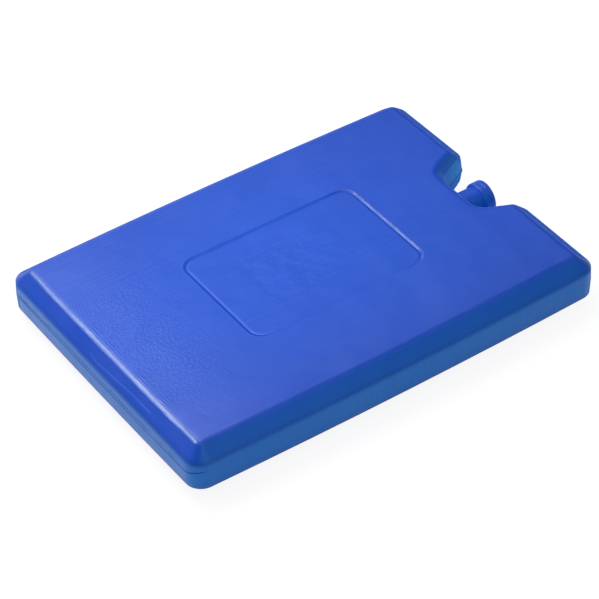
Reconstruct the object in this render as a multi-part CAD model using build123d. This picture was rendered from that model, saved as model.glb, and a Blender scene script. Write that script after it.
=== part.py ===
from build123d import *
from math import atan2, cos, degrees, pi, sin, tan
import os

# A reusable ice pack: one flat blow-moulded container, filled and sealed,
# with a notch in one end where its filling neck stands, and the plug pressed into that neck.
# All sizes are in millimetres.

# Outline of the container at its parting plane
pack_length = 280.0
pack_width = 200.2
pack_thickness = 33.5
end_bow = 0.56
side_bow = 2.07
corner_radius = 10.5

# Rim section, the same above and below the parting plane
wall_draft = 0.35
bevel_inset = 8.9
bevel_height = 7.8
shoulder_radius = 2.5
top_corner_radius = 2.6
top_edge_radius = 5.5

# The notch, the neck and the label recess share one centre line
centre_line_y = 1.1

# Notch in the +X end, wider at its mouth
notch_depth = 23.4
notch_floor_width = 34.4
notch_mouth_width = 57.0
notch_wall_angle = 7.5
notch_bevel_inset = 4.75
notch_shoulder_height = 3.2
notch_inner_radius = 6.5
notch_mouth_radius = 5.5

# Fine ridge on the +X end and in the notch, where the two halves of the mould met
ridge_height = 0.25
ridge_thickness = 0.5
ridge_end_gap = 9.0

# Fine creases on the -X end, where the mould pinched the tube of plastic shut.
# Each point is a distance from the -Y side and a height above the parting plane.
crease_width = 0.5
crease_depth = 0.3
lower_crease = ((188.0, 0.9), (13.0, 1.0), (9.0, 1.9), (2.6, 4.0))
upper_crease = ((188.0, 2.4), (157.0, 2.7), (152.0, 3.3), (50.0, 3.3), (36.0, 3.7), (22.0, 3.2))

# Label recess in the top face
label_length = 121.5
label_width = 82.4
label_offset_x = 1.4
label_corner_radius = 10.0
label_depth = 0.65
label_slope = 1.8
label_pad_height = 0.25
label_pad_slope = 1.5

# Filling neck, along X in the parting plane
neck_diameter = 18.2
neck_root = 6.0
neck_flange_diameter = 21.6
neck_flange_thickness = 4.2
neck_flange_round = 1.6
neck_mouth_inset = 8.9
joint_chamfer = 0.15

# Plug pressed into the neck
plug_head_diameter = 21.6
plug_head_thickness = 3.4
plug_head_round = 0.6
plug_stem_diameter = 13.0
plug_stem_length = 12.0
plug_stem_lead = 1.0
plug_clearance = 0.1

# How many narrow flats make up the shoulder's round and the rounds of the turned pieces
shoulder_flats = 3
turned_flats = 3

half_thickness = pack_thickness / 2
half_length = pack_length / 2
half_width = pack_width / 2
wall_height = half_thickness - bevel_height
notch_floor_x = half_length - notch_depth
neck_mouth_x = half_length - neck_mouth_inset
cut_margin = 10.0
upright_share = 0.4


def outline(inset, radius, height):
    """The pack's outline at one height: four gently bowed sides with rounded corners."""
    x = half_length - end_bow - inset
    y = half_width - side_bow - inset
    with BuildSketch(Plane.XY.offset(height)) as sketch:
        with BuildLine():
            ThreePointArc((-x, -y), (0, -y - side_bow), (x, -y))
            ThreePointArc((x, -y), (x + end_bow, 0), (x, y))
            ThreePointArc((x, y), (0, y + side_bow), (-x, y))
            ThreePointArc((-x, y), (-x - end_bow, 0), (-x, -y))
        make_face()
        fillet(sketch.vertices(), radius=radius)
    return sketch.sketch.face()


def section(inset, height):
    """The wire of the outline at one height, its corners offset with its sides."""
    return outline(inset, corner_radius - inset, height).outer_wire()


def half_slab():
    """The upper half: a drafted wall, then a bevel up to the flat top."""
    shoulder = section(wall_draft, wall_height)
    crown = outline(wall_draft + bevel_inset, top_corner_radius, half_thickness)
    wall = Solid.make_loft([section(0, 0), shoulder], ruled=True)
    bevel = Solid.make_loft([shoulder, crown.outer_wire()], ruled=True)
    return (wall + bevel).solid()


def notch_outline():
    """The notch at the parting plane, run out past the end of the pack."""
    spread = (notch_mouth_width - notch_floor_width) / 2 / notch_depth
    outer_x = half_length + cut_margin
    inner_y = notch_floor_width / 2
    outer_y = inner_y + (outer_x - notch_floor_x) * spread
    with BuildSketch() as sketch:
        with BuildLine():
            Polyline(
                (notch_floor_x, -inner_y),
                (outer_x, -outer_y),
                (outer_x, outer_y),
                (notch_floor_x, inner_y),
                close=True,
            )
        make_face()
        fillet(sketch.vertices().group_by(Axis.X)[0], radius=notch_inner_radius)
    return sketch.sketch.face().moved(Location((0, centre_line_y, 0)))


def notch_cutter():
    """What the notch takes away from the upper half: drafted walls, a shoulder and a bevel."""
    bevel_angle = degrees(atan2(notch_bevel_inset, bevel_height))
    shoulder_low = wall_height - notch_shoulder_height / 2
    shoulder_angle = (notch_wall_angle + bevel_angle) / 2
    rises = (shoulder_low, notch_shoulder_height, half_thickness + cut_margin)
    angles = (notch_wall_angle, shoulder_angle, bevel_angle)
    rim = notch_outline()
    parts = []
    for rise, angle in zip(rises, angles):
        parts.append(extrude(rim, amount=rise, taper=-angle))
        rim = parts[-1].faces().sort_by(Axis.Z)[-1]
    return (parts[0] + parts[1] + parts[2]).solid()


def is_upright(edge):
    return abs(edge.tangent_at(0.5).Z) > upright_share


def is_mouth_corner(edge):
    middle = edge.center()
    reach = abs(middle.Y - centre_line_y)
    inside = notch_floor_width / 2 < reach < notch_mouth_width / 2 + bevel_inset
    return is_upright(edge) and inside and middle.X > half_length - notch_depth / 2


def shoulder_points():
    """Points of inset and height on the round that joins the wall's line to the bevel's."""
    low = atan2(wall_draft, wall_height)
    high = atan2(bevel_inset, bevel_height)
    setback = shoulder_radius * tan((high - low) / 2)
    centre_inset = wall_draft - setback * sin(low) + shoulder_radius * cos(low)
    centre_height = wall_height - setback * cos(low) - shoulder_radius * sin(low)
    points = []
    for step in range(shoulder_flats + 1):
        lean = low + (high - low) * step / shoulder_flats
        inset = centre_inset - shoulder_radius * cos(lean)
        points.append(Vector(inset, centre_height + shoulder_radius * sin(lean)))
    return points


def shoulder_shaver():
    """What rounds the edge between the wall and the bevel, a frame round the outline."""
    points = shoulder_points()
    first = points[0] * 2 - points[1]
    last = points[-1] * 2 - points[-2]
    route = [first, *points[1:-1], last]
    keep = Solid.make_loft([section(point.X, point.Y) for point in route], ruled=True)
    size = (pack_length + cut_margin, pack_width + cut_margin, last.Y - first.Y)
    block = Box(*size, align=(Align.CENTER, Align.CENTER, Align.MIN))
    return (block.moved(Location((0, 0, first.Y))) - keep).solid()


def rounded_half():
    """The upper half with its notch, and all its outer edges rounded."""
    half = (half_slab() - notch_cutter()).solid()
    half = half.fillet(notch_mouth_radius, half.edges().filter_by(is_mouth_corner))
    crown = half.faces().sort_by(Axis.Z)[-1]
    half = half.fillet(top_edge_radius, crown.outer_wire().edges())
    return (half - shoulder_shaver()).solid()


def rounded_panel(inset, depth):
    """The label recess's outline at one depth below the top face."""
    radius = label_corner_radius - inset
    with BuildSketch(Plane.XY.offset(half_thickness - depth)) as sketch:
        RectangleRounded(label_length - 2 * inset, label_width - 2 * inset, radius)
    return sketch.sketch.face().outer_wire()


def label_cutter():
    """A shallow recess with sloped sides, and a floor that rises a little inside them."""
    over = label_slope * cut_margin / label_depth
    rim = rounded_panel(-over, -cut_margin)
    foot = rounded_panel(label_slope, label_depth)
    recess = Solid.make_loft([rim, foot], ruled=True)
    pad_foot = rounded_panel(label_slope, label_depth)
    pad_top = rounded_panel(label_slope + label_pad_slope, label_depth - label_pad_height)
    pad = Solid.make_loft([pad_foot, pad_top], ruled=True)
    return (recess - pad).solid().moved(Location((label_offset_x, centre_line_y, 0)))


def mould_ridge():
    """Half of the ridge: a thin plate a little larger than the outline, round the notch."""
    thickness = ridge_thickness / 2
    plate = extrude(outline(-ridge_height, corner_radius + ridge_height, 0), amount=thickness)
    with BuildSketch() as gap:
        add(notch_outline())
        offset(amount=-ridge_height)
    plate = (plate - extrude(gap.sketch, amount=thickness)).solid()
    plate = plate.fillet(notch_mouth_radius + ridge_height, plate.edges().filter_by(is_mouth_corner))
    length = notch_depth + ridge_end_gap + cut_margin
    size = (length, pack_width - 2 * ridge_end_gap, pack_thickness)
    keep = Box(*size, align=(Align.MIN, Align.CENTER, Align.CENTER))
    return (plate & keep.moved(Location((notch_floor_x - ridge_end_gap, 0, 0)))).solid()


def crease(route):
    """What one fine crease takes away from the wall of the -X end."""
    points = [(distance - half_width, height) for distance, height in route]
    with BuildSketch(Plane.YZ.offset(-half_length - cut_margin)) as sketch:
        with BuildLine():
            Polyline(*points)
        trace(line_width=crease_width)
    ribbon = extrude(sketch.sketch, amount=cut_margin + corner_radius)
    floor = [section(crease_depth, 0), section(crease_depth + wall_draft, wall_height)]
    return ribbon - Solid.make_loft(floor, ruled=True)


def turned(profile):
    """A solid turned about the neck's axis from points of distance along X and radius."""
    plane = Plane((0, centre_line_y, 0), x_dir=(1, 0, 0), z_dir=(0, -1, 0))
    with BuildSketch(plane) as sketch:
        with BuildLine():
            Polyline(*profile, close=True)
        make_face()
    axis = Axis((0, centre_line_y, 0), (1, 0, 0))
    return revolve(sketch.sketch, axis=axis).solid()


def eased(start, end):
    """Points of a turned profile that leave a face at start and join a cylinder at end."""
    points = []
    for step in range(turned_flats + 1):
        turn = pi / 2 * step / turned_flats
        x = start[0] + (end[0] - start[0]) * (1 - cos(turn))
        points.append((x, start[1] + (end[1] - start[1]) * sin(turn)))
    return points


def neck():
    """The filling neck: a straight tube with a thicker collar at its mouth."""
    root_x = notch_floor_x - neck_root
    collar_x = neck_mouth_x - neck_flange_thickness
    stem = neck_diameter / 2
    collar = neck_flange_diameter / 2
    return turned([
        (root_x, 0),
        (root_x, stem),
        *eased((collar_x, stem), (collar_x + neck_flange_round, collar)),
        (neck_mouth_x - joint_chamfer, collar),
        (neck_mouth_x, collar - joint_chamfer),
        (neck_mouth_x, 0),
    ])


def plug_bore():
    """The blind bore in the neck that the plug's stem is pressed into."""
    reach = plug_stem_length + plug_clearance
    radius = plug_stem_diameter / 2 + plug_clearance
    return turned([
        (neck_mouth_x - reach, 0),
        (neck_mouth_x - reach, radius),
        (neck_mouth_x + cut_margin, radius),
        (neck_mouth_x + cut_margin, 0),
    ])


def pack_body():
    """The filled container as one solid, in its own frame with the parting plane at zero."""
    half = (rounded_half() + mould_ridge()).solid()
    top = half - label_cutter() - crease(lower_crease) - crease(upper_crease)
    body = top + mirror(half, Plane.XY) + neck()
    return (body - plug_bore()).solid()


def filler_plug():
    """The stopper: a head that covers the neck's mouth and a stem inside it."""
    head = plug_head_diameter / 2
    stem = plug_stem_diameter / 2
    inner_x = neck_mouth_x - plug_stem_length
    outer_x = neck_mouth_x + plug_head_thickness
    rim = eased((outer_x, head - plug_head_round), (outer_x - plug_head_round, head))
    return turned([
        (inner_x, 0),
        (inner_x, stem - plug_stem_lead),
        (inner_x + plug_stem_lead, stem),
        (neck_mouth_x, stem),
        (neck_mouth_x, head - joint_chamfer),
        (neck_mouth_x + joint_chamfer, head),
        *reversed(rim),
        (outer_x, 0),
    ])


def save(solid, name):
    """Stand the piece on its underside and write it."""
    placed = solid.moved(Location((0, 0, half_thickness)))
    placed.label = name
    export_step(placed, f"parts/{name}.step")


os.makedirs("parts", exist_ok=True)
save(pack_body(), "pack_body")
save(filler_plug(), "filler_plug")
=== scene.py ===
import math

import bpy
from mathutils import Matrix, Vector


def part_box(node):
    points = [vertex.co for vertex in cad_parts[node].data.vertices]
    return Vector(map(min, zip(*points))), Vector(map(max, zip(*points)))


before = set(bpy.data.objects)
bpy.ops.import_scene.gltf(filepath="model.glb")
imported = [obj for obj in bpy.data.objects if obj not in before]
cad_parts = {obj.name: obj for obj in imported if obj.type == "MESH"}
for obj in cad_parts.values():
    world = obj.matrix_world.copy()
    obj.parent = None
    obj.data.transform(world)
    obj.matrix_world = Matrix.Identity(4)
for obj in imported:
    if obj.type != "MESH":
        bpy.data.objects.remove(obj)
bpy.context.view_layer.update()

# The box of the CAD model, from which the parting plane's height is taken.
pack_low, pack_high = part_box("pack_body")
parting_height = (pack_low.z + pack_high.z) / 2
millimetre = 0.001

# Camera at the photograph's angle. Angles are in degrees, distances in metres.
camera_azimuth = -33.854
camera_elevation = 41.291
camera_roll = -1.706
camera_distance = 1.51105
camera_shift_x = -0.009382
camera_shift_y = -0.009455
camera_lens = 157.65
camera_sensor = 36.0
camera_clip = (0.01, 20)

# A soft lamp overhead, left out of the gloss. Metres and watts.
softbox_place = (-0.14, 0.28, 0.74)
softbox_aim = (0, 0, 0.02)
softbox_side = 0.40
softbox_power = 2.8
softbox_colour = (1, 1, 1)
# A card far behind the pack's left end, which shows in the gloss alone.
card_place = (-0.52, 0.71, 0.95)
card_aim = (-0.05, 0, 0.02)
card_side = 0.42
card_power = 14.0
card_colour = (0.88, 1.0, 0.90)

# How bright the room is in each direction: an axis, where a change on it starts and ends,
# and the brightness at its start and end. The rows are multiplied.
room_changes = (
    ("y", -0.9, 0.9, 0.35, 0.75),
    ("x", -0.9, 0.3, 0.86, 1.0),
)
# The same for the room as the gloss shows it, with a bright patch behind the pack.
reflected_changes = (
    ("x", -0.50, 0.10, 0.04, 1.0),
    ("x", 0.55, 0.08, 0.03, 6.4),
    ("y", -0.10, 0.45, 0.15, 1.0),
    ("y", 0.85, 0.30, 0.35, 2.0),
)

# The white floor: half its side in metres, what it gives back of the light that falls on it,
# and its own glow, as the camera and as the pack's gloss see it.
floor_reach = 6.0
floor_grey = (0.8, 0.8, 0.8, 1)
floor_seen_grey = (0.16, 0.16, 0.16, 1)
floor_seen_glow = 0.895
floor_reflected_grey = (0.85, 0.85, 0.85, 1)
floor_reflected_glow = 0.34

# Places and lengths below are in millimetres, from the middle of the pack's underside.
# Two values with facing in their name are parts of the normal between which a form fades in.
# Fine skin and broad waves over the whole surface.
skin_size = 1.1
skin_height = 0.06
wave_size = 22.0
wave_detail = 1.0
wave_height = 0.5

# The pebbled zone on the top ends at -X in a shallow arc with fine ripples along it.
# It fades towards +X and is worn towards -Y.
grain_edge_x = -126.6
grain_edge_bend = 5.0
grain_edge_middle_y = -8.0
grain_edge_half_span = 54.0
grain_edge_power = 4.0
grain_edge_start = (-0.3, 1.2)
grain_fade_x = (-52.0, -108.0)
grain_y = (-84.0, 46.0)
grain_side_fade = 5.0
grain_worn_y = (-78.0, -36.0)
grain_worn_share = 0.3
pebble_size = 1.5
pebble_height = 0.25
ripple_gap = 1.7
ripple_widths = (0.7, 0.6, 0.6)
ripple_height = 0.12
ripple_patch_size = 14.0
ripple_patch_range = (-0.1, 0.15)

# Fine ridges along X that the tube of plastic got where it was pressed out.
# Each band has its reach in x and in y and a share of the height.
ridge_pitch = 2.3
ridge_height = 0.05
ridge_bands = (
    ((-127.0, -62.0), (44.0, 63.0), 1.0),
    ((-106.0, 40.0), (-76.0, -26.0), 0.45),
)
ridge_fade_x = 9.0
ridge_fade_y = 5.0
ridge_stretch = 0.06
ridge_wander_size = 4.0
ridge_wander = 5.0
ridge_patch_size = 9.0
ridge_patch_range = (-0.2, 0.2)
ridge_patch_low = 0.2
streak_stretch = 0.035
streak_size = 2.6
streak_height = 0.16

# Small specks that stand on the top, each a place in x and y.
specks = ((113.8, -36.1), (120.1, -51.1), (58.5, -56.0), (36.8, -54.4), (82.7, 38.2), (35.2, 44.9))
speck_radius = 0.75
speck_height = 0.09

# Faint smears in the middle of the label recess.
smear_x = (-40.0, 30.0)
smear_y = (-22.0, 26.0)
smear_fade_x = 16.0
smear_fade_y = 10.0
smear_size = 8.0
smear_detail = 3.0
smear_height = 0.28

# The label recess: half its length and width, its corners and its middle.
# At the +X end the middle of its slope is steeper, and its edge glossier.
recess_half_x = 60.75
recess_half_y = 41.2
recess_corner = 10.0
recess_middle = (1.4, 1.1)
riser_reach = (-1.5, -0.5)
riser_height = 0.3
riser_x = (34.0, 56.0)
riser_facing = (0.2, 0.5)
keen_reach = (-2.2, 0.4)
keen_fade = 0.4
keen_x = (44.0, 58.0)
keen_share = -0.13

# Fine upright streaks on the walls.
wall_facing = (0.5, 0.2)
wall_streak_size = 1.6
wall_streak_stretch = 0.12
wall_streak_height = 0.10

# A hair-fine fold on the bevel of the -X end: heights above the parting plane.
fold_start_y = 12.0
fold_hook_y = 3.3
fold_level_y = -30.0
fold_end_y = -50.0
fold_low = 10.8
fold_high = 12.0
fold_hook_rise = 1.0
fold_width = 0.32
fold_end_fade = 0.6
fold_facing = (-0.3, -0.5)
fold_height = 0.03
fold_paleness = 0.34

# Between two heights from the parting plane the rounds of wall, bevel and top are shaded
# over a wider round, and so is all of the plug. Those of the notch are left as they are.
# The two radii are in metres, as the shader takes them.
shoulder_low = 3.5
shoulder_high = 13.0
shoulder_fade = 0.8
shoulder_radius = 0.006
plug_radius = 0.0015
bevel_samples = 8
notch_x = (84.0, 150.0)
notch_y = (-14.0, 52.0)
notch_fade = 3.0
notch_wall_y = (13.0, 16.0)

# The top sinks very slightly towards -X and -Y, where its normals lean by these shares.
top_facing = (0.90, 0.985)
lean_x = (-62.0, -130.0)
lean_x_share = -0.09
lean_y = (-50.0, -92.0)
lean_y_share = -0.15

# Gloss. The rim at -X is rubbed, the notch's wall is dull, and so is what is seen edge-on.
specular_level = 0.28
satin_roughness = 0.38
edge_on_roughness = 1.0
edge_on_range = (0.69, 0.85)
smudge_size = 26.0
smudge_detail = 3.0
smudge_share = 0.16
rubbed_x = (-124.0, -130.0)
rubbed_share = -0.08
dull_facing = (0.9, 0.6)
dull_share = 0.2

# Colours of the plastic. The middle of the top has two that mix in clouds. Painted shade darkens
# the top towards its ends and sides, where the light falls off. The walls, the two bevels and the
# notch's wall get painted light and shade for how light falls on them: paler teal on the walls,
# teal on the shaded -Y bevel and the notch's wall, deeper blue on the lit -X bevel. The fold has
# its own paler colour.
middle_blue = (0.006, 0.082, 0.615, 1)
middle_blue_pale = (0.008, 0.093, 0.655, 1)
cloud_size = 45.0
cloud_range = (-0.25, 0.25)
# Painted shade: the top darkens towards its ends and sides, where the light falls off.
painted_falloff_blue = (0.006, 0.066, 0.50, 1)
painted_falloff_middle = (-20.0, 12.0)
painted_falloff_scale = (160.0, 100.0)
painted_falloff_range = (0.25, 1.15)
# Painted light: upright walls get a paler, tealer blue for how light falls on them.
wall_painted_light_blue = (0.004, 0.197, 0.735, 1)
wall_painted_light_power = 1.4
bevel_facing_up = (0.35, 0.6)
bevel_facing_side = (-0.4, -0.65)
# Painted light: the lit -X bevel keeps a deep, bright blue.
end_bevel_top = (0.95, 0.85)
end_bevel_lit_blue = (0.008, 0.082, 0.625, 1)
# Painted shade: the shaded -Y bevel gets a darker, tealer blue.
front_bevel_shade_share = 0.75
front_bevel_shade_blue = (0.002, 0.112, 0.535, 1)
# Painted shade: the notch's wall, in shade, gets a teal tint.
notch_wall_facing_up = (0.6, 0.3)
notch_wall_facing_side = (-0.2, -0.5)
notch_wall_shade_blue = (0.010, 0.29, 0.84, 1)
fold_blue = (0.10, 0.24, 0.85, 1)


def make_camera():
    """The camera looks past the pack's centre from the photograph's direction."""
    a = math.radians(camera_azimuth)
    e = math.radians(camera_elevation)
    r = math.radians(camera_roll)
    back = Vector((math.sin(a) * math.cos(e), -math.cos(a) * math.cos(e), math.sin(e)))
    right = Vector((0, 0, 1)).cross(back).normalized()
    up = back.cross(right)
    image_x = right * math.cos(r) + up * math.sin(r)
    image_y = up * math.cos(r) - right * math.sin(r)
    place = back * camera_distance + Vector((camera_shift_x, camera_shift_y, parting_height))
    data = bpy.data.cameras.new("camera")
    data.lens = camera_lens
    data.sensor_width = camera_sensor
    data.clip_start, data.clip_end = camera_clip
    camera = bpy.data.objects.new("camera", data)
    turn = Matrix((image_x, image_y, back)).transposed().to_4x4()
    camera.matrix_world = Matrix.Translation(place) @ turn
    bpy.context.scene.collection.objects.link(camera)
    bpy.context.scene.camera = camera


class Graph:
    """Short calls that add the nodes of one tree and join them."""

    def __init__(self, tree):
        self.nodes = tree.nodes
        self.links = tree.links

    def feed(self, socket, value):
        if isinstance(value, bpy.types.NodeSocket):
            self.links.new(value, socket)
        else:
            socket.default_value = value

    def math(self, operation, *values):
        node = self.nodes.new("ShaderNodeMath")
        node.operation = operation
        for socket, value in zip(node.inputs, values):
            self.feed(socket, value)
        return node.outputs[0]

    def total(self, *values):
        result = values[0]
        for value in values[1:]:
            result = self.math("ADD", result, value)
        return result

    def product(self, *values):
        result = values[0]
        for value in values[1:]:
            result = self.math("MULTIPLY", result, value)
        return result

    def ramp(self, value, low, high, start=0.0, end=1.0, kind="SMOOTHSTEP"):
        """From start to end as value goes from low to high."""
        node = self.nodes.new("ShaderNodeMapRange")
        node.interpolation_type = kind
        self.feed(node.inputs["Value"], value)
        node.inputs["From Min"].default_value = low
        node.inputs["From Max"].default_value = high
        node.inputs["To Min"].default_value = start
        node.inputs["To Max"].default_value = end
        return node.outputs[0]

    def band(self, value, low, high, soft):
        """One between low and high, with soft ends."""
        rise = self.ramp(value, low - soft, low + soft)
        return self.product(rise, self.ramp(value, high + soft, high - soft))

    def line(self, value, middle, width):
        """One at the middle, gone at a width to either side of it."""
        away = self.math("ABSOLUTE", self.math("SUBTRACT", value, middle))
        return self.ramp(away, width, 0.0)

    def vector(self, x, y, z):
        node = self.nodes.new("ShaderNodeCombineXYZ")
        for socket, value in zip(node.inputs, (x, y, z)):
            self.feed(socket, value)
        return node.outputs[0]

    def vector_math(self, operation, *vectors):
        """The node itself, because its answer is a vector or a number."""
        node = self.nodes.new("ShaderNodeVectorMath")
        node.operation = operation
        for socket, vector in zip(node.inputs, vectors):
            self.links.new(vector, socket)
        return node

    def split(self, vector):
        node = self.nodes.new("ShaderNodeSeparateXYZ")
        self.links.new(vector, node.inputs[0])
        return node.outputs[0], node.outputs[1], node.outputs[2]

    def noise(self, place, size, detail=2.0):
        """Noise about nought, whose features are about size long."""
        node = self.nodes.new("ShaderNodeTexNoise")
        node.inputs["Scale"].default_value = 1 / size
        node.inputs["Detail"].default_value = detail
        self.links.new(place, node.inputs["Vector"])
        return self.math("SUBTRACT", node.outputs[0], 0.5)

    def mix(self, factor, first, second):
        """A colour between the first and the second, on the node's sockets for colours."""
        node = self.nodes.new("ShaderNodeMix")
        node.data_type = "RGBA"
        self.feed(node.inputs["Factor"], factor)
        self.feed(node.inputs[6], first)
        self.feed(node.inputs[7], second)
        return node.outputs[2]

    def mix_vectors(self, factor, first, second):
        """A vector between the first and the second, on the node's sockets for vectors."""
        node = self.nodes.new("ShaderNodeMix")
        node.data_type = "VECTOR"
        self.feed(node.inputs["Factor"], factor)
        self.links.new(first, node.inputs[4])
        self.links.new(second, node.inputs[5])
        return node.outputs[1]


def area_lamp(name, place, aim, side, power, colour):
    """A soft square lamp at place, facing aim."""
    data = bpy.data.lights.new(name, "AREA")
    data.shape = "RECTANGLE"
    data.size = side
    data.size_y = side
    data.energy = power
    data.color = colour
    lamp = bpy.data.objects.new(name, data)
    lamp.location = place
    lamp.rotation_mode = "QUATERNION"
    lamp.rotation_quaternion = (Vector(aim) - Vector(place)).to_track_quat("-Z", "Y")
    bpy.context.scene.collection.objects.link(lamp)
    return lamp


def room_brightness(graph, axes, changes):
    """The product of all changes along the axes of the direction."""
    return graph.product(*[graph.ramp(axes[axis], *change) for axis, *change in changes])


def make_lights():
    """A soft lamp overhead, a card for the gloss, and a plain room that is dimmer in front."""
    softbox = area_lamp(
        "softbox", softbox_place, softbox_aim, softbox_side, softbox_power, softbox_colour
    )
    softbox.visible_glossy = False
    card = area_lamp("card", card_place, card_aim, card_side, card_power, card_colour)
    card.visible_diffuse = False
    world = bpy.data.worlds.new("studio")
    bpy.context.scene.world = world
    world.use_nodes = True
    graph = Graph(world.node_tree)
    background = graph.nodes["Background"]
    background.inputs["Color"].default_value = (1, 1, 1, 1)
    way = graph.nodes.new("ShaderNodeTexCoord")
    axes = dict(zip("xyz", graph.split(way.outputs["Generated"])))
    reflected = graph.nodes.new("ShaderNodeLightPath").outputs["Is Glossy Ray"]
    direct = graph.math("SUBTRACT", 1.0, reflected)
    level = graph.total(
        graph.product(room_brightness(graph, axes, room_changes), direct),
        graph.product(room_brightness(graph, axes, reflected_changes), reflected),
    )
    graph.feed(background.inputs["Strength"], level)


def make_floor():
    """A white floor that keeps the pack's shadow."""
    mesh = bpy.data.meshes.new("floor")
    reach = floor_reach
    corners = [(-reach, -reach, 0), (reach, -reach, 0), (reach, reach, 0), (-reach, reach, 0)]
    mesh.from_pydata(corners, [], [(0, 1, 2, 3)])
    floor = bpy.data.objects.new("floor", mesh)
    bpy.context.scene.collection.objects.link(floor)
    material = bpy.data.materials.new("floor_white")
    material.use_nodes = True
    graph = Graph(material.node_tree)
    graph.nodes.clear()
    out = graph.nodes.new("ShaderNodeOutputMaterial")
    plain = graph.nodes.new("ShaderNodeBsdfDiffuse")
    plain.inputs["Color"].default_value = floor_grey
    pale = graph.nodes.new("ShaderNodeBsdfDiffuse")
    glow = graph.nodes.new("ShaderNodeEmission")
    white = graph.nodes.new("ShaderNodeAddShader")
    mix = graph.nodes.new("ShaderNodeMixShader")
    path = graph.nodes.new("ShaderNodeLightPath")
    reflected = path.outputs["Is Glossy Ray"]
    grey = graph.mix(reflected, floor_seen_grey, floor_reflected_grey)
    strength = graph.ramp(reflected, 0.0, 1.0, floor_seen_glow, floor_reflected_glow, "LINEAR")
    graph.feed(pale.inputs["Color"], grey)
    graph.feed(glow.inputs["Strength"], strength)
    seen = graph.math("MAXIMUM", path.outputs["Is Camera Ray"], reflected)
    seen = graph.math("MAXIMUM", seen, path.outputs["Is Transmission Ray"])
    graph.links.new(pale.outputs[0], white.inputs[0])
    graph.links.new(glow.outputs[0], white.inputs[1])
    graph.feed(mix.inputs[0], seen)
    graph.links.new(plain.outputs[0], mix.inputs[1])
    graph.links.new(white.outputs[0], mix.inputs[2])
    graph.links.new(mix.outputs[0], out.inputs["Surface"])
    mesh.materials.append(material)


class Surface:
    """A place on the surface in millimetres, and which way the surface faces there."""

    def __init__(self, graph, moulded_detail):
        self.graph = graph
        coordinates = graph.nodes.new("ShaderNodeTexCoord")
        scaled = graph.vector_math("SCALE", coordinates.outputs["Object"])
        scaled.inputs["Scale"].default_value = 1 / millimetre
        self.place = scaled.outputs["Vector"]
        self.x, self.y, self.z = graph.split(self.place)
        if moulded_detail:
            self.notch = graph.product(
                graph.band(self.x, *notch_x, notch_fade), graph.band(self.y, *notch_y, notch_fade)
            )
            self.notch_side = graph.product(self.notch, graph.ramp(self.y, *notch_wall_y))
            self.normal = self.softened_normal(self.shoulder_share(), shoulder_radius)
        else:
            self.normal = self.softened_normal(1.0, plug_radius)
        self.normal_x, self.normal_y, self.normal_z = graph.split(self.normal)
        self.top = graph.ramp(self.normal_z, *top_facing)

    def shoulder_share(self):
        """One on the shoulder's rounds, apart from those of the notch round the plug."""
        graph = self.graph
        above = graph.math("ABSOLUTE", graph.math("SUBTRACT", self.z, parting_height / millimetre))
        return graph.product(
            graph.band(above, shoulder_low, shoulder_high, shoulder_fade),
            graph.math("SUBTRACT", 1.0, self.notch),
        )

    def softened_normal(self, share, radius):
        """The surface's normal, taken over a wider round where the share is one."""
        graph = self.graph
        plain = graph.nodes.new("ShaderNodeNewGeometry").outputs["Normal"]
        bevel = graph.nodes.new("ShaderNodeBevel")
        bevel.samples = bevel_samples
        bevel.inputs["Radius"].default_value = radius
        blend = graph.mix_vectors(share, plain, bevel.outputs[0])
        return graph.vector_math("NORMALIZE", blend).outputs[0]


def grain_relief(at):
    """The pebbled zone on the top and the ripples along its edge."""
    graph = at.graph
    off_middle = graph.product(
        graph.math("SUBTRACT", at.y, grain_edge_middle_y), 1 / grain_edge_half_span
    )
    bend = graph.product(
        graph.math("POWER", graph.math("ABSOLUTE", off_middle), grain_edge_power), grain_edge_bend
    )
    inside = graph.math("SUBTRACT", at.x, graph.math("ADD", bend, grain_edge_x))
    across = graph.band(at.y, *grain_y, grain_side_fade)
    zone = graph.product(
        across,
        graph.ramp(at.y, *grain_worn_y, grain_worn_share, 1.0),
        graph.ramp(inside, *grain_edge_start),
        graph.ramp(at.x, *grain_fade_x),
    )
    pebbles = graph.product(graph.noise(at.place, pebble_size), zone, pebble_height)
    lines = []
    for number, width in enumerate(ripple_widths):
        lines.append(graph.line(inside, -number * ripple_gap, width))
    patches = graph.ramp(graph.noise(at.place, ripple_patch_size), *ripple_patch_range)
    ripples = graph.product(graph.total(*lines), across, patches, ripple_height)
    return graph.total(pebbles, ripples)


def ridge_relief(at):
    """Fine ridges along X in bands across the top, and streaks all over it."""
    graph = at.graph
    along = graph.vector(graph.product(at.x, ridge_stretch), at.y, 0.0)
    wander = graph.product(graph.noise(along, ridge_wander_size), ridge_wander)
    turn = graph.product(at.y, 2 * math.pi / ridge_pitch)
    wave = graph.math("SINE", graph.total(turn, wander))
    bands = []
    for x_range, y_range, share in ridge_bands:
        x_band = graph.band(at.x, *x_range, ridge_fade_x)
        y_band = graph.band(at.y, *y_range, ridge_fade_y)
        bands.append(graph.product(x_band, y_band, share))
    noise = graph.noise(at.place, ridge_patch_size)
    patches = graph.ramp(noise, *ridge_patch_range, ridge_patch_low, 1.0)
    ridges = graph.product(wave, graph.total(*bands), patches, ridge_height)
    drawn = graph.vector(graph.product(at.x, streak_stretch), at.y, 0.0)
    streaks = graph.product(graph.noise(drawn, streak_size), streak_height)
    return graph.total(ridges, streaks)


def speck_relief(at):
    """The small specks that stand on the top."""
    graph = at.graph
    bumps = []
    for speck_x, speck_y in specks:
        off_x = graph.math("SUBTRACT", at.x, speck_x)
        off_y = graph.math("SUBTRACT", at.y, speck_y)
        apart = graph.vector_math("LENGTH", graph.vector(off_x, off_y, 0.0))
        bumps.append(graph.ramp(apart.outputs["Value"], speck_radius, 0.0))
    return graph.product(graph.total(*bumps), speck_height)


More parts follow.
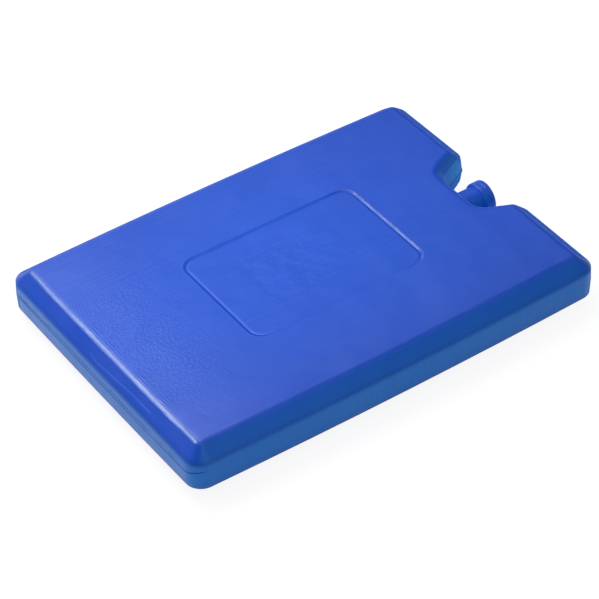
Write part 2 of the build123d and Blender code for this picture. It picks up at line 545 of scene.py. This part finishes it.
def smear_relief(at):
    """Faint smears in the label recess."""
    graph = at.graph
    return graph.product(
        graph.noise(at.place, smear_size, smear_detail),
        graph.band(at.x, *smear_x, smear_fade_x),
        graph.band(at.y, *smear_y, smear_fade_y),
        smear_height,
    )


def recess_distance(at):
    """How far a place is outside the label recess's outline."""
    graph = at.graph
    squares = []
    for value, middle, half in zip((at.x, at.y), recess_middle, (recess_half_x, recess_half_y)):
        away = graph.math("ABSOLUTE", graph.math("SUBTRACT", value, middle))
        past = graph.math("MAXIMUM", graph.math("SUBTRACT", away, half - recess_corner), 0.0)
        squares.append(graph.product(past, past))
    corner_distance = graph.math("SQRT", graph.total(*squares))
    return graph.math("SUBTRACT", corner_distance, recess_corner)


def riser_relief(at, from_recess):
    """The steeper middle of the label recess's slope at the +X end."""
    graph = at.graph
    return graph.product(
        graph.ramp(from_recess, *riser_reach),
        graph.ramp(at.normal_z, *riser_facing),
        graph.ramp(at.x, *riser_x),
        riser_height,
    )


def wall_relief(at):
    """Fine upright streaks on the walls."""
    graph = at.graph
    wall = graph.ramp(graph.math("ABSOLUTE", at.normal_z), *wall_facing)
    drawn = graph.vector(at.x, at.y, graph.product(at.z, wall_streak_stretch))
    return graph.product(graph.noise(drawn, wall_streak_size), wall, wall_streak_height)


def fold_mask(at):
    """The hair-fine fold on the bevel of the -X end."""
    graph = at.graph
    rise = graph.ramp(at.y, fold_hook_y, fold_level_y, fold_low, fold_high, "LINEAR")
    hook = graph.ramp(at.y, fold_hook_y, fold_start_y, 0.0, 1.0, "LINEAR")
    above = graph.total(rise, graph.product(hook, hook, fold_hook_rise))
    height = graph.math("ADD", above, parting_height / millimetre)
    return graph.product(
        graph.line(at.z, height, fold_width),
        graph.band(at.y, fold_end_y, fold_start_y, fold_end_fade),
        graph.ramp(at.normal_x, *fold_facing),
    )


def surface_relief(at, fold, from_recess):
    """Everything that stands on the surface or is sunk in it, in millimetres."""
    graph = at.graph
    skin = graph.product(graph.noise(at.place, skin_size), skin_height)
    waves = graph.product(graph.noise(at.place, wave_size, wave_detail), wave_height)
    relief = graph.total(skin, waves)
    if fold is None:
        return relief
    on_top = graph.total(grain_relief(at), ridge_relief(at), speck_relief(at), smear_relief(at))
    return graph.total(
        relief,
        graph.product(on_top, at.top),
        graph.product(fold, fold_height),
        riser_relief(at, from_recess),
        wall_relief(at),
    )


def leaning_normal(at):
    """The normal, leaned a little where the top sinks towards its sides."""
    graph = at.graph
    lean = graph.vector(
        graph.product(graph.ramp(at.x, *lean_x), at.top, lean_x_share),
        graph.product(graph.ramp(at.y, *lean_y), at.top, lean_y_share),
        0.0,
    )
    leaning = graph.vector_math("ADD", at.normal, lean).outputs[0]
    return graph.vector_math("NORMALIZE", leaning).outputs[0]


def surface_roughness(at, from_recess):
    """Satin with faint smudges, duller edge-on and glossier where it is rubbed."""
    graph = at.graph
    smudge = graph.product(graph.noise(at.place, smudge_size, smudge_detail), smudge_share)
    facing = graph.nodes.new("ShaderNodeLayerWeight").outputs["Facing"]
    satin = graph.ramp(facing, *edge_on_range, satin_roughness, edge_on_roughness)
    rubbed = graph.ramp(at.x, *rubbed_x, 0.0, rubbed_share)
    roughness = graph.total(satin, smudge, rubbed)
    if from_recess is None:
        return roughness
    dull = graph.product(at.notch_side, graph.ramp(at.normal_z, *dull_facing), dull_share)
    keen = graph.product(
        graph.band(from_recess, *keen_reach, keen_fade), graph.ramp(at.x, *keen_x), keen_share
    )
    return graph.total(roughness, dull, keen)


def surface_colour(at, fold):
    """Blue that varies in clouds over the top, with painted shade darker towards the top's ends and
    sides, and painted light and shade on the walls, bevels and notch's wall for how light falls on
    them.
    """
    graph = at.graph
    cloud = graph.ramp(graph.noise(at.place, cloud_size), *cloud_range)
    colour = graph.mix(cloud, middle_blue, middle_blue_pale)
    # Painted shade: darker outwards from the middle of the top, where the light falls off.
    squares = []
    for value, middle, scale in zip((at.x, at.y), painted_falloff_middle, painted_falloff_scale):
        share = graph.product(graph.math("SUBTRACT", value, middle), 1 / scale)
        squares.append(graph.product(share, share))
    from_middle = graph.math("SQRT", graph.total(*squares))
    painted_falloff = graph.ramp(from_middle, *painted_falloff_range, 0.0, 1.0, "LINEAR")
    colour = graph.mix(painted_falloff, colour, painted_falloff_blue)
    # Painted light: upright faces turn paler and tealer.
    upright = graph.math("SUBTRACT", 1.0, graph.math("ABSOLUTE", at.normal_z))
    colour = graph.mix(graph.math("POWER", upright, wall_painted_light_power), colour, wall_painted_light_blue)

    # Painted light: the lit -X bevel is kept a deep blue.
    raised = graph.ramp(at.normal_z, *bevel_facing_up)
    end_bevel_lit = graph.product(
        graph.ramp(at.normal_x, *bevel_facing_side), raised, graph.ramp(at.normal_z, *end_bevel_top)
    )
    colour = graph.mix(end_bevel_lit, colour, end_bevel_lit_blue)
    # Painted shade: the shaded -Y bevel turns darker and tealer.
    front_bevel_shade = graph.product(
        graph.ramp(at.normal_y, *bevel_facing_side), raised, front_bevel_shade_share
    )
    colour = graph.mix(front_bevel_shade, colour, front_bevel_shade_blue)
    if fold is None:
        return colour
    # Painted shade: teal on the notch's wall.
    notch_wall_shade = graph.product(
        at.notch_side,
        graph.ramp(at.normal_z, *notch_wall_facing_up),
        graph.ramp(at.normal_y, *notch_wall_facing_side),
    )
    colour = graph.mix(notch_wall_shade, colour, notch_wall_shade_blue)
    return graph.mix(graph.product(fold, fold_paleness), colour, fold_blue)


def make_plastic(name, moulded_detail):
    """Satin blue blow-moulded plastic. The detail of the pack's faces is left off the plug."""
    material = bpy.data.materials.new(name)
    material.use_nodes = True
    graph = Graph(material.node_tree)
    shader = graph.nodes["Principled BSDF"]
    shader.inputs["Specular IOR Level"].default_value = specular_level
    at = Surface(graph, moulded_detail)
    fold = fold_mask(at) if moulded_detail else None
    from_recess = recess_distance(at) if moulded_detail else None
    bump = graph.nodes.new("ShaderNodeBump")
    bump.inputs["Distance"].default_value = millimetre
    graph.feed(bump.inputs["Height"], surface_relief(at, fold, from_recess))
    graph.links.new(leaning_normal(at), bump.inputs["Normal"])
    graph.links.new(bump.outputs[0], shader.inputs["Normal"])
    graph.links.new(surface_roughness(at, from_recess), shader.inputs["Roughness"])
    graph.links.new(surface_colour(at, fold), shader.inputs["Base Color"])
    return material


scene = bpy.context.scene
scene.view_settings.view_transform = "Standard"
make_camera()
make_lights()
make_floor()
for node_name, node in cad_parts.items():
    node.data.materials.clear()
    node.data.materials.append(make_plastic("satin_" + node_name, node_name == "pack_body"))
